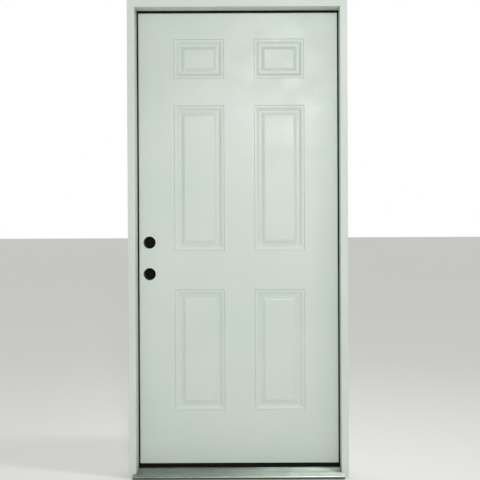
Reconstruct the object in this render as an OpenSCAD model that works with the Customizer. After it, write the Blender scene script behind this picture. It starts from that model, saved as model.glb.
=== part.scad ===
// Six-panel steel front door, hung on three hinges in its rabbeted wooden frame.
// Outdoors is -Y, indoors is +Y, +X is the hinge side and +Z is up.
// The origin is on the floor, in the middle of the sill and of the frame's depth.

/* [Door slab] */
// Width of the door slab
slab_w = 908; // [740:1:1100]
// Height of the door slab
slab_h = 2007; // [1650:1:2450]
// Thickness of the door slab
slab_t = 44.45; // [36:0.05:57]
// Thickness of each steel skin
skin_t = 0.6; // [0.4:0.1:1]
// How far each skin is folded round the slab's upright edges
flange_w = 9; // [6:0.5:9]
// Width of the wooden stile inside each upright edge
stile_w = 30; // [24:1:33]
// Height of the wooden rail inside the slab's top
top_rail_h = 25; // [20:1:60]
// Height of the composite rail inside the slab's bottom
bottom_rail_h = 32; // [20:1:60]
// Width of the block that backs the lock holes, from the latch stile
lock_block_w = 110; // [92:1:130]
// How far the lock block runs above and below the lock holes
lock_block_over = 90; // [50:1:120]

/* [Pressed panels] */
// Width of the plain band beside the panels on the lock side
latch_band_w = 171; // [150:0.5:180]
// Width of the plain band beside the panels on the hinge side
hinge_band_w = 161.5; // [150:0.5:180]
// Width of the plain band between two panels side by side
mullion_w = 133; // [90:1:160]
// Height of the plain band under the bottom panels
bottom_band_h = 232; // [150:1:260]
// Height of the two bottom panels
lower_panel_h = 536; // [400:1:560]
// Height of the plain band at the lock
lock_band_h = 171; // [120:1:220]
// Height of the plain band between the middle and top panels
frieze_band_h = 119; // [80:1:150]
// Height of the two top panels
upper_panel_h = 174; // [120:1:220]
// Height of the plain band above the top panels
top_band_h = 132; // [90:1:170]
// Width of the small step around each panel
step_w = 1.5; // [1:0.1:3]
// Depth of that small step
step_d = 2; // [0.5:0.1:2.5]
// Width of the narrow flat inside the step
fillet_w = 7.5; // [3:0.5:10]
// Width of the S-curve that drops from the flat into the groove
ogee_w = 15; // [8:0.5:18]
// Depth of the groove below the slab's face
groove_d = 8; // [5:0.5:10]
// Width of the groove's floor
groove_w = 7; // [3:0.5:10]
// Width of the S-curve that rises from the groove to the panel's field
rise_w = 18; // [12:0.5:24]
// Depth of the panel's flat field below the slab's face
field_d = 2; // [0.5:0.1:4]

/* [Lock holes] */
// Diameter of the two holes through the slab
face_bore_d = 54; // [50:0.5:55]
// Distance from the slab's edge to the holes' centres
backset = 60.3; // [60.3, 69.9]
// Height of the lower hole above the slab's bottom
latch_h = 837; // [780:1:900]
// Distance between the two holes' centres
bore_spacing = 139.7; // [130:0.1:160]
// Diameter of the holes drilled in from the slab's edge
edge_bore_d = 22.2; // [20:0.1:24]
// Diameter of the holes through the frame that take the bolts
strike_bore_d = 25.4; // [22:0.1:28]
// Length of the pockets for the latch plates and strike plates
plate_l = 57.2; // [50:0.1:65]
// Width of the pocket for a latch plate
latch_plate_w = 25.4; // [24.5:0.1:26]
// Depth of the pocket for a latch plate
latch_plate_t = 3; // [2:0.1:4]
// Width of the pocket for a strike plate
strike_plate_w = 28.6; // [26:0.1:32]
// Depth of the pocket for a strike plate
strike_plate_t = 1.6; // [1:0.1:3]
// Corner radius of those pockets
plate_corner_r = 6.35; // [3:0.05:8]

/* [Frame] */
// Depth of the frame, from outdoors to indoors
jamb_d = 116; // [100:1:170]
// Thickness of the frame's boards behind the slab's edge
jamb_t = 19; // [17:0.5:25]
// Thickness of the stop that the slab closes against
stop_t = 12.7; // [10:0.1:16]
// Gap between the slab and the frame at the sides and the top
slab_gap = 3.2; // [2.4:0.1:4]
// How far the frame's legs run up past the head
horn_h = 10; // [0:1:60]
// Depth of the housing that takes the head's end in each leg
housing_d = 6; // [3:0.5:9]

/* [Seals] */
// Depth of the space for the seal between the stop and the slab
seal_gap = 6.35; // [5:0.05:8]
// How far the side seals show past the stops
side_seal_over = 6.5; // [3:0.5:9]
// How far the head seal shows past its stop
head_seal_over = 10; // [3:0.5:12]
// Gap left between each seal and what it closes against
soft_gap = 0.3; // [0.2:0.05:0.5]
// Width of the saw cut that holds a seal
kerf_w = 3; // [2:0.1:4]
// Depth of that saw cut
kerf_d = 12; // [8:0.5:16]
// Distance of that saw cut from the frame's board
kerf_in = 3; // [2:0.5:6]
// Thickness of the pads in the frame's bottom corners
pad_t = 1.4; // [1:0.1:1.6]
// Width of those pads
pad_w = 26; // [20:1:30]
// Height of those pads
pad_h = 45; // [30:1:70]

/* [Sill] */
// Height of the slab's bottom above the floor
floor_gap = 41.3; // [38:0.1:48]
// How far the sill's nose stands out of the frame
nose_out = 27; // [15:1:50]
// Radius of the sill's nose
nose_r = 4; // [3:0.5:5]
// Height of the nose's underside above the floor
nose_z = 9; // [5:0.5:11]
// Thickness of the aluminium deck
deck_t = 2; // [1.5:0.1:2.5]
// Height of the deck's flat part above the floor
deck_z = 23; // [21:0.5:24]
// How far the nose overhangs the sill's base
nose_over = 12; // [8:1:16]
// Height of the foot of the deck's lip indoors
lip_z = 8; // [4:0.5:12]
// Gap between the stops' backs and the cap
cap_gap = 0.8; // [0.5:0.1:2]
// Gap between the stops' feet and the deck
stop_foot_gap = 0.3; // [0.1:0.1:1]
// Depth of the cap under the slab
cap_d = 44; // [30:1:48]
// Height of the cap's top above the floor
cap_z = 31; // [28:0.5:33]
// Radius of the cap's top edges
cap_r = 2; // [1:0.5:3]

/* [Door sweep] */
// Thickness of the sweep's plate
sweep_t = 3; // [2:0.5:4]
// Thickness of each fin
fin_t = 2; // [1.5:0.1:3]
// Number of fins
fins = 4; // [2:1:5]
// How far the sweep is set in from the slab's faces and ends
sweep_in = 2; // [1:0.5:4]

/* [Hinges] */
// Height of each hinge
hinge_h = 101.6; // [89:0.1:114]
// Width of each leaf, from the slab's face indoors
leaf_w = 34; // [28:0.5:34.5]
// Thickness of each leaf
leaf_t = 2.5; // [2:0.1:3]
// Corner radius of each leaf
leaf_corner_r = 15.9; // [6:0.1:16]
// Radius of the hinge's barrel
barrel_r = 6; // [5:0.5:7]
// Radius of the hinge pin
pin_r = 3.2; // [2.5:0.1:4]
// Running clearance of the pin in the barrel
pin_fit = 0.05; // [0.03:0.01:0.1]
// Distance of the pin's axis from the slab's face indoors
pin_out = 6.5; // [6.5:0.1:9]
// Number of knuckles in each barrel
knuckles = 5; // [3:2:5]
// Gap between two knuckles
knuckle_gap = 0.2; // [0.1:0.05:0.4]
// Gap between a leaf's plate and the line of the slab's face
leaf_back = 0.6; // [0.5:0.1:1.5]
// Distance from the slab's top to the upper hinge
upper_hinge_in = 177.8; // [120:0.1:200]
// Distance from the slab's bottom to the lower hinge
lower_hinge_in = 279.4; // [180:0.1:300]
// Clearance around a leaf in its pocket
pocket_fit = 0.1; // [0.05:0.05:0.3]

/* [Screws] */
// Radius of a screw's shank
shank_r = 2.2; // [1.8:0.1:2.5]
// Radius of a screw's head
head_r = 4.2; // [3.6:0.1:4.5]
// Height of a screw's head
head_h = 2.4; // [1.8:0.1:2.4]
// Length of the screws in the hinges' leaves
leaf_screw_l = 16; // [12:0.5:17]
// Length of the screws that hold the frame together
frame_screw_l = 60; // [45:1:75]
// Clearance around a screw
screw_fit = 0.05; // [0.03:0.01:0.1]
// Width of the cross cut in a screw's head
cross_w = 1.1; // [0.8:0.1:1.4]
// Length of the cross cut in a screw's head
cross_l = 4.4; // [3.6:0.1:5]
// Depth of the cross cut in a screw's head
cross_d = 1.4; // [0.8:0.1:1.6]

/* [Hidden] */
$fn = 64;

over = 1;                                  // overshoot of every cut
rabbet_w = slab_w + 2 * slab_gap;          // between the frame's boards
rabbet_x = rabbet_w / 2;
outer_x = rabbet_x + jamb_t;
stop_x = rabbet_x - stop_t;
front_y = -jamb_d / 2;
back_y = jamb_d / 2;
slab_y = back_y - slab_t;                  // the slab's face outdoors
stop_y = slab_y - seal_gap;                // the stop's face towards the slab
slab_top = floor_gap + slab_h;
head_z = slab_top + slab_gap;              // underside of the head's board
head_top = head_z + jamb_t;
leg_h = head_top + horn_h;

panel_w = (slab_w - latch_band_w - hinge_band_w - mullion_w) / 2;
middle_panel_z = bottom_band_h + lower_panel_h + lock_band_h;
upper_panel_z = slab_h - top_band_h - upper_panel_h;
middle_panel_h = upper_panel_z - frieze_band_h - middle_panel_z;
panel_x = [latch_band_w, latch_band_w + panel_w + mullion_w];
panel_rows = [
    [bottom_band_h, lower_panel_h],
    [middle_panel_z, middle_panel_h],
    [upper_panel_z, upper_panel_h],
];
curve_steps = 8;                           // flats along each S-curve

bore_heights = [latch_h, latch_h + bore_spacing];
core_y = slab_t / 2;                       // the latch's line across the slab

cap_y = stop_y + cap_gap;
sill_y = front_y - nose_out;
nose_top = nose_z + 2 * nose_r;
slope = (deck_z - nose_top) / (cap_y - sill_y - nose_r);
nose_steps = 12;                           // flats round the sill's nose

hinge_y = back_y + pin_out;
hinge_x = slab_w / 2 + slab_gap / 2;
lower_hinge_z = floor_gap + lower_hinge_in + hinge_h / 2;
upper_hinge_z = slab_top - upper_hinge_in - hinge_h / 2;
hinge_heights = [lower_hinge_z, (lower_hinge_z + upper_hinge_z) / 2, upper_hinge_z];
knuckle_h = (hinge_h - (knuckles - 1) * knuckle_gap) / knuckles;
pin_tip = 3;                               // pin that shows under the barrel
pin_head_h = 3;
leaf_screws = [[-38, 13], [-13, 23], [13, 23], [38, 13]];  // up from the centre, in from the face
leg_screws = [-30, 30];                    // across the frame's depth
sill_screw_z = 9;

// ---- Pressed panels ----

// An S-curve of width w that starts at x and goes from one depth to another
function s_curve(x, w, from, to) = [for (i = [0 : curve_steps]) let (t = i / curve_steps)
    [x + w * t, from + (to - from) * (1 - cos(180 * t)) / 2]];

// Depth of the pressing at each distance in from a panel's outer line
function moulding() = let (
    flat_x = step_w + fillet_w,
    rise_x = flat_x + ogee_w + groove_w
) concat(
    [[0, 0], [step_w, step_d]],
    s_curve(flat_x, ogee_w, step_d, groove_d),
    s_curve(rise_x, rise_w, groove_d, field_d)
);

// Four corners of a panel's outline, moved in by inset, at depth y
function ring(w, h, inset, y) = [
    [inset, y, inset], [w - inset, y, inset], [w - inset, y, h - inset], [inset, y, h - inset],
];

// A closed solid through a list of such rings
module ring_stack(rings) {
    last = 4 * (len(rings) - 1);
    polyhedron(
        points = [for (r = rings) for (p = r) p],
        faces = concat(
            [[3, 2, 1, 0], [last, last + 1, last + 2, last + 3]],
            [for (r = [0 : len(rings) - 2]) for (i = [0 : 3]) let (j = (i + 1) % 4)
                [4 * r + i, 4 * r + j, 4 * r + 4 + j, 4 * r + 4 + i]]
        )
    );
}

module each_panel() {
    for (x = panel_x)
        for (row = panel_rows)
            translate([x, 0, row[0]]) {
                $panel_h = row[1];
                children();
            }
}

// One pressed panel of sheet steel
module pressed_panel(h) {
    section = moulding();
    count = len(section);
    ring_stack(concat(
        [for (i = [count - 1 : -1 : 0]) ring(panel_w, h, section[i][0], section[i][1])],
        [for (p = section) ring(panel_w, h, p[0], p[1] + skin_t)]
    ));
}

// The hollow that a pressed panel takes out of the foam behind it
module panel_hollow(h) {
    ring_stack(concat(
        [ring(panel_w, h, 0, -over)],
        [for (p = moulding()) ring(panel_w, h, p[0], p[1] + skin_t)]
    ));
}

// ---- Cuts that several pieces share, in the slab's own frame ----

module in_slab() {
    translate([-slab_w / 2, slab_y, floor_gap]) children();
}

// Puts an outline drawn in Y and Z into the frame, extruded along X
module along_x(length) {
    rotate([90, 0, 90]) linear_extrude(length) children();
}

module rounded_plate(w, h, r) {
    square([w - 2 * r, h], center = true);
    square([w, h - 2 * r], center = true);
    for (x = [-1, 1])
        for (y = [-1, 1])
            translate([x * (w / 2 - r), y * (h / 2 - r)]) circle(r);
}

module face_bores() {
    for (z = bore_heights)
        translate([backset, -over, z]) rotate([-90, 0, 0]) cylinder(d = face_bore_d, h = slab_t + 2 * over);
}

module edge_bores() {
    for (z = bore_heights)
        translate([-over, core_y, z]) {
            rotate([0, 90, 0]) cylinder(d = edge_bore_d, h = backset + over);
            along_x(over + latch_plate_t) rounded_plate(latch_plate_w, plate_l, plate_corner_r);
        }
}

// A countersunk screw that points up, its head's flat face at the origin
module screw_body(length, fit) {
    cylinder(h = head_h, r1 = head_r + fit, r2 = shank_r + fit);
    cylinder(h = length + fit, r = shank_r + fit);
}

module screw(length) {
    difference() {
        screw_body(length, 0);
        for (a = [0, 90])
            rotate(a) translate([-cross_l / 2, -cross_w / 2, -over]) cube([cross_l, cross_w, over + cross_d]);
    }
}

module screw_hole(length) {
    screw_body(length, screw_fit);
    translate([0, 0, -over]) cylinder(h = over, r = head_r + screw_fit);
}

// ---- Door slab ----

module skin() {
    difference() {
        union() {
            difference() {
                cube([slab_w, skin_t, slab_h]);
                each_panel() translate([0, -over, 0]) cube([panel_w, skin_t + 2 * over, $panel_h]);
            }
            each_panel() pressed_panel($panel_h);
            for (x = [0, slab_w - skin_t])
                translate([x, 0, 0]) cube([skin_t, flange_w, slab_h]);
        }
        face_bores();
        edge_bores();
    }
}

module exterior_skin() {
    color([0.83, 0.86, 0.82])
        difference() {
            in_slab() skin();
            door_leaf_pockets();
        }
}

module interior_skin() {
    color([0.83, 0.86, 0.82])
        difference() {
            in_slab() translate([0, slab_t, 0]) mirror([0, 1, 0]) skin();
            door_leaf_pockets();
        }
}

module slab_stile() {
    translate([skin_t, skin_t, 0]) cube([stile_w - skin_t, slab_t - 2 * skin_t, slab_h]);
}

module latch_stile() {
    color([0.82, 0.69, 0.5])
        in_slab()
            difference() {
                slab_stile();
                face_bores();
                edge_bores();
            }
}

module hinge_stile() {
    color([0.82, 0.69, 0.5])
        difference() {
            in_slab() translate([slab_w, 0, 0]) mirror([1, 0, 0]) slab_stile();
            door_leaf_pockets();
            at_door_screws() screw_hole(leaf_screw_l);
        }
}

// What fills the slab between its stiles, from one height to another
module slab_fill(z, h) {
    translate([stile_w, skin_t, z]) cube([slab_w - 2 * stile_w, slab_t - 2 * skin_t, h]);
}

module top_rail() {
    color([0.8, 0.67, 0.48]) in_slab() slab_fill(slab_h - top_rail_h, top_rail_h);
}

module bottom_rail() {
    color([0.45, 0.42, 0.38]) in_slab() slab_fill(0, bottom_rail_h);
}

module lock_block_blank() {
    translate([stile_w, skin_t, latch_h - lock_block_over])
        cube([lock_block_w, slab_t - 2 * skin_t, bore_spacing + 2 * lock_block_over]);
}

module lock_block() {
    color([0.78, 0.64, 0.45])
        in_slab()
            difference() {
                lock_block_blank();
                face_bores();
                edge_bores();
            }
}

module foam_core() {
    color([0.93, 0.89, 0.72])
        in_slab()
            difference() {
                slab_fill(bottom_rail_h, slab_h - bottom_rail_h - top_rail_h);
                lock_block_blank();
                each_panel() panel_hollow($panel_h);
                translate([0, slab_t, 0]) mirror([0, 1, 0]) each_panel() panel_hollow($panel_h);
            }
}

module door_sweep() {
    bottom = cap_z + soft_gap - floor_gap;
    length = slab_w - 2 * sweep_in;
    fin_pitch = (slab_t - 2 * sweep_in - fin_t) / (fins - 1);
    color([0.04, 0.04, 0.04])
        in_slab()
            translate([sweep_in, sweep_in, 0]) {
                translate([0, 0, -sweep_t]) cube([length, slab_t - 2 * sweep_in, sweep_t]);
                for (i = [0 : fins - 1])
                    translate([0, i * fin_pitch, bottom]) cube([length, fin_t, -sweep_t - bottom]);
            }
}

// ---- Hinges ----

// A hinge's own frame: the pin's axis at half the hinge's height
module at_hinge(z) {
    translate([hinge_x, hinge_y, z]) children();
}

// The outline of a leaf's plate, in Y and Z, grown by fit and run on to y_end
module leaf_outline(fit, y_end) {
    far = -pin_out - leaf_w - fit;
    high = hinge_h / 2 + fit;
    translate([far + leaf_corner_r, -high]) square([y_end - far - leaf_corner_r, 2 * high]);
    translate([far, leaf_corner_r - high]) square([leaf_corner_r + over, 2 * (high - leaf_corner_r)]);
    for (side = [-1, 1])
        translate([far + leaf_corner_r, side * (high - leaf_corner_r)]) circle(leaf_corner_r);
}

module leaf_pocket() {
    along_x(slab_gap / 2 + leaf_t) leaf_outline(pocket_fit, over - pin_out);
}

// Places of the screws in one leaf on the frame's side, pointing into the wood
module at_leaf_screws() {
    for (s = leaf_screws)
        translate([slab_gap / 2, -pin_out - s[1], s[0]]) rotate([0, 90, 0]) children();
}

module at_jamb_screws() {
    for (z = hinge_heights)
        at_hinge(z) at_leaf_screws() children();
}

module at_door_screws() {
    for (z = hinge_heights)
        at_hinge(z) mirror([1, 0, 0]) at_leaf_screws() children();
}

module door_leaf_pockets() {
    for (z = hinge_heights)
        at_hinge(z) mirror([1, 0, 0]) leaf_pocket();
}

// One leaf on the frame's side, with the knuckles that it owns, counted from the bottom
module hinge_leaf(own) {
    difference() {
        union() {
            translate([slab_gap / 2, 0, 0]) along_x(leaf_t) leaf_outline(0, -pin_out - leaf_back);
            for (k = own)
                translate([0, 0, k * (knuckle_h + knuckle_gap) - hinge_h / 2]) {
                    cylinder(r = barrel_r, h = knuckle_h);
                    translate([slab_gap / 2, -pin_out - leaf_back - over, 0])
                        cube([leaf_t, pin_out + leaf_back + over, knuckle_h]);
                }
        }
        translate([0, 0, -hinge_h / 2 - over]) cylinder(r = pin_r + pin_fit, h = hinge_h + 2 * over);
        at_leaf_screws() screw_hole(leaf_screw_l);
    }
}

module jamb_leaf(z) {
    color([0.72, 0.72, 0.7]) at_hinge(z) hinge_leaf([0 : 2 : knuckles - 1]);
}

module door_leaf(z) {
    color([0.72, 0.72, 0.7]) at_hinge(z) mirror([1, 0, 0]) hinge_leaf([1 : 2 : knuckles - 2]);
}

module hinge_pin(z) {
    color([0.66, 0.66, 0.65])
        at_hinge(z)
            translate([0, 0, -hinge_h / 2 - pin_tip]) {
                cylinder(r = pin_r, h = pin_tip + hinge_h + pin_head_h / 2);
                cylinder(r = barrel_r - 1, h = pin_tip - 1);
                translate([0, 0, pin_tip + hinge_h])
                    cylinder(r1 = barrel_r - 0.5, r2 = barrel_r - 2, h = pin_head_h);
            }
}

module jamb_leaf_screws() {
    color([0.72, 0.72, 0.7]) at_jamb_screws() screw(leaf_screw_l);
}

module door_leaf_screws() {
    color([0.72, 0.72, 0.7]) at_door_screws() screw(leaf_screw_l);
}

// ---- Sill ----

module sill_base() {
    color([0.3, 0.3, 0.29])
        difference() {
            translate([-rabbet_x, 0, 0])
                along_x(rabbet_w)
                    polygon([
                        [sill_y + nose_over, 0], [back_y - deck_t, 0], [back_y - deck_t, deck_z - deck_t],
                        [cap_y, deck_z - deck_t],
                        [sill_y + nose_over, nose_top - deck_t + slope * (nose_over - nose_r)],
                    ]);
            at_sill_screws() screw_hole(frame_screw_l);
        }
}

// Points round the sill's nose, from its foot to its top
function nose_arc(r) = [
    for (i = [0 : nose_steps]) let (a = -90 - 180 * i / nose_steps)
        [sill_y + nose_r + r * cos(a), nose_z + nose_r + r * sin(a)],
];

function reversed(points) = [for (i = [len(points) - 1 : -1 : 0]) points[i]];

// One bent sheet: hooked under the nose, up the slope, flat under the cap and down the back
module deck_outline() {
    hook_y = sill_y + nose_over;
    polygon(concat(
        [[hook_y, nose_z]],
        nose_arc(nose_r),
        [[cap_y, deck_z], [back_y, deck_z], [back_y, lip_z], [back_y - deck_t, lip_z],
            [back_y - deck_t, deck_z - deck_t], [cap_y, deck_z - deck_t]],
        reversed(nose_arc(nose_r - deck_t)),
        [[hook_y, nose_z + deck_t]]
    ));
}

module sill_deck() {
    color([0.74, 0.75, 0.74]) translate([-rabbet_x, 0, 0]) along_x(rabbet_w) deck_outline();
}

module sill_cap() {
    color([0.05, 0.05, 0.05])
        translate([-rabbet_x, cap_y, deck_z])
            along_x(rabbet_w) {
                square([cap_d, cap_z - deck_z - cap_r]);
                translate([cap_r, 0]) square([cap_d - 2 * cap_r, cap_z - deck_z]);
                for (y = [cap_r, cap_d - cap_r])
                    translate([y, cap_z - deck_z - cap_r]) circle(cap_r);
            }
}

// ---- Frame ----

// A leg's or the head's outline: across from the board's inner face, and along Y
module jamb_outline() {
    translate([0, front_y]) square([jamb_t, jamb_d]);
    translate([-stop_t, front_y]) square([stop_t + over, stop_y - front_y]);
}

// The saw cut for the seal in that outline
module kerf_outline() {
    translate([-kerf_in - kerf_w, stop_y - kerf_d]) square([kerf_w, kerf_d + over]);
}

// Places of the screws in both ends of the sill, each pointing into its leg and on inwards
module at_sill_screws() {
    for (side = [-1, 1])
        for (y = leg_screws)
            translate([side * outer_x, y, sill_screw_z]) rotate([0, -90 * side, 0]) children();
}

module at_head_screws() {
    for (side = [-1, 1])
        for (y = leg_screws)
            translate([side * outer_x, y, head_z + jamb_t / 2]) rotate([0, -90 * side, 0]) children();
}

// The leg on the hinge side, before its hinge pockets
module leg() {
    difference() {
        translate([rabbet_x, 0, 0])
            linear_extrude(leg_h)
                difference() {
                    jamb_outline();
                    kerf_outline();
                }
        // room for the head's end
        translate([stop_x - over, front_y - over, head_z - stop_t])
            cube([stop_t + over, stop_y - front_y + 2 * over, leg_h]);
        translate([rabbet_x - over, front_y - over, head_z])
            cube([over + housing_d, jamb_d + 2 * over, jamb_t]);
        // the stop's foot, cut to the deck's slope
        translate([stop_x - over, 0, 0])
            along_x(stop_t + over)
                polygon([
                    [front_y - over, -over], [stop_y + over, -over], [stop_y + over, deck_z + stop_foot_gap],
                    [front_y - over, nose_top + slope * (nose_out - over - nose_r) + stop_foot_gap],
                ]);
        at_sill_screws() screw_hole(frame_screw_l);
        at_head_screws() screw_hole(frame_screw_l);
    }
}

module hinge_jamb() {
    color([0.82, 0.85, 0.81])
        difference() {
            leg();
            for (z = hinge_heights)
                at_hinge(z) leaf_pocket();
            at_jamb_screws() screw_hole(leaf_screw_l);
        }
}

module strike_jamb() {
    color([0.82, 0.85, 0.81])
        difference() {
            mirror([1, 0, 0]) leg();
            for (z = bore_heights)
                translate([-outer_x - over, slab_y + core_y, floor_gap + z]) {
                    rotate([0, 90, 0]) cylinder(d = strike_bore_d, h = jamb_t + 2 * over);
                    translate([over + jamb_t - strike_plate_t, 0, 0])
                        along_x(strike_plate_t + over) rounded_plate(strike_plate_w, plate_l, plate_corner_r);
                }
        }
}

module head_jamb() {
    length = rabbet_w + 2 * housing_d;
    color([0.82, 0.85, 0.81])
        difference() {
            translate([-length / 2, front_y, head_z]) cube([length, jamb_d, jamb_t]);
            at_head_screws() screw_hole(frame_screw_l);
        }
    color([0.82, 0.85, 0.81])
        difference() {
            translate([-rabbet_x, front_y, head_z - stop_t]) cube([rabbet_w, stop_y - front_y, stop_t]);
            translate([-rabbet_x - over, stop_y - kerf_d, head_z - kerf_in - kerf_w])
                cube([rabbet_w + 2 * over, kerf_d + over, kerf_w]);
        }
}

module head_screws() {
    color([0.7, 0.65, 0.45]) at_head_screws() screw(frame_screw_l);
}

module sill_screws() {
    color([0.7, 0.65, 0.45]) at_sill_screws() screw(frame_screw_l);
}

// ---- Seals ----

// A seal's outline: across from the board's inner face, and along Y from the stop's face
module seal_outline(shown) {
    bulb_r = (seal_gap - soft_gap) / 2;
    reach = stop_t + shown;
    translate([-reach + bulb_r, 0]) square([reach - bulb_r - soft_gap, 2 * bulb_r]);
    translate([-reach + bulb_r, bulb_r]) circle(bulb_r);
    translate([-kerf_in - kerf_w + soft_gap, soft_gap - kerf_d]) square([kerf_w - 2 * soft_gap, kerf_d]);
}

module side_seal() {
    bottom = cap_z + soft_gap;
    top = head_z - stop_t - head_seal_over - soft_gap;
    translate([rabbet_x, stop_y, bottom]) linear_extrude(top - bottom) seal_outline(side_seal_over);
}

module hinge_seal() {
    color([0.05, 0.05, 0.05]) side_seal();
}

module strike_seal() {
    color([0.05, 0.05, 0.05]) mirror([1, 0, 0]) side_seal();
}

module head_seal() {
    length = rabbet_w - 2 * soft_gap;
    color([0.05, 0.05, 0.05])
        translate([length / 2, stop_y, head_z])
            rotate([0, -90, 0]) linear_extrude(length) seal_outline(head_seal_over);
}

module hinge_corner_pad() {
    color([0.06, 0.06, 0.06])
        translate([rabbet_x - pad_t, slab_y + soft_gap, cap_z]) cube([pad_t, pad_w, pad_h]);
}

module strike_corner_pad() {
    color([0.06, 0.06, 0.06])
        translate([-rabbet_x, slab_y + soft_gap, cap_z]) cube([pad_t, pad_w, pad_h]);
}

exterior_skin();
interior_skin();
latch_stile();
hinge_stile();
top_rail();
bottom_rail();
lock_block();
foam_core();
door_sweep();
door_leaf(hinge_heights[2]);  // upper_door_leaf
door_leaf(hinge_heights[1]);  // middle_door_leaf
door_leaf(hinge_heights[0]);  // lower_door_leaf
door_leaf_screws();
strike_jamb();
hinge_jamb();
head_jamb();
strike_seal();
hinge_seal();
head_seal();
strike_corner_pad();
hinge_corner_pad();
sill_base();
sill_deck();
sill_cap();
sill_screws();
head_screws();
jamb_leaf(hinge_heights[2]);  // upper_jamb_leaf
jamb_leaf(hinge_heights[1]);  // middle_jamb_leaf
jamb_leaf(hinge_heights[0]);  // lower_jamb_leaf
jamb_leaf_screws();
hinge_pin(hinge_heights[2]);  // upper_hinge_pin
hinge_pin(hinge_heights[1]);  // middle_hinge_pin
hinge_pin(hinge_heights[0]);  // lower_hinge_pin
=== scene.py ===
# %% [markdown]
# # A panelled front door, finished in Blender
# The construction of this door comes from its CAD model: slab, frame, sill, seals and hinges at
# their real size. Here each visible piece gets the shape detail and the finish of the real thing.
# Everything is in metres. -Y is outdoors, +Y is indoors, +X is the hinge side and +Z is up.
# We load the CAD model first; the boxes of its parts give the sizes that the pieces below follow.

# %% Load the construction
import math

import bmesh
import bpy
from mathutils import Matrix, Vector, geometry


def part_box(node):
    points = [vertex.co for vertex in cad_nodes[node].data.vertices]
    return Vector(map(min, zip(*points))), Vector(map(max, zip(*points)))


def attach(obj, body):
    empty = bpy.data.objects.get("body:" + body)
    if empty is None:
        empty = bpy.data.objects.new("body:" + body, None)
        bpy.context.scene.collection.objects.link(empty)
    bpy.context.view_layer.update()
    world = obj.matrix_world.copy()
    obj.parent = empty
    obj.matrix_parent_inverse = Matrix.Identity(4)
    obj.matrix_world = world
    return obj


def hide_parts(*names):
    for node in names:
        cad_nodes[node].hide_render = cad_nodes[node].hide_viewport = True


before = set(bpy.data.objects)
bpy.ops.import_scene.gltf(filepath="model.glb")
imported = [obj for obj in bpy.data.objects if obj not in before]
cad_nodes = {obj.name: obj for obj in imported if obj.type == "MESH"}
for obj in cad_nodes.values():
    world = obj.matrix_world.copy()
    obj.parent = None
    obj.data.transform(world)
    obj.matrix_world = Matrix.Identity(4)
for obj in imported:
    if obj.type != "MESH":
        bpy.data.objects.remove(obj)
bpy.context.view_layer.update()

# %% [markdown]
# ## Camera
# The camera stands a little right of the door's middle, at chest height, about three metres away.
# It looks almost straight at the door, so upright edges stay upright: a small lens shift frames the
# door instead of a strong tilt. A quarter of a degree of tilt and roll is what a hand-held camera
# has. We make it first, because every look is seen through it.

# %% Place the camera
leg_low, leg_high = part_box("hinge_jamb")
TO_THE_RIGHT, DISTANCE, HEIGHT = 0.113, 3.118, 1.148
TILT, ROLL = 0.26, 0.25
LENS = 54.1
SHIFT = -0.05
camera_data = bpy.data.cameras.new("door_camera")
camera_data.lens = LENS
camera_data.shift_x = SHIFT
camera_data.shift_y = SHIFT
camera = bpy.data.objects.new("door_camera", camera_data)
camera.location = (TO_THE_RIGHT, leg_low.y - DISTANCE, HEIGHT)
camera.rotation_euler = (math.radians(90 - TILT), math.radians(ROLL), 0)
bpy.context.scene.collection.objects.link(camera)
bpy.context.scene.camera = camera
print("camera at", tuple(round(v, 3) for v in camera.location))

# %% [markdown]
# ## A helper for finishes
# A finish is a Principled shader with noise wired into its colour, roughness and bump. We could
# wire each material's nodes one by one, but a small class with a word for each kind of detail
# keeps every finish to a few lines. We place all noise in object coordinates, in metres, so a
# scale is easy to read: 500 means details about 2 mm wide. Stretching the coordinates turns round
# blotches into grain or drawn lines.

# %% Colours as picked on screen
def linear_light(value):
    """One channel of a screen colour (0 to 255), as the linear light that the shader needs."""
    share = value / 255
    return share / 12.92 if share <= 0.04 else ((share + 0.055) / 1.055) ** 2.4


def rgb(red, green, blue):
    return (linear_light(red), linear_light(green), linear_light(blue), 1.0)


print("white is", rgb(255, 255, 255))


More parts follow.
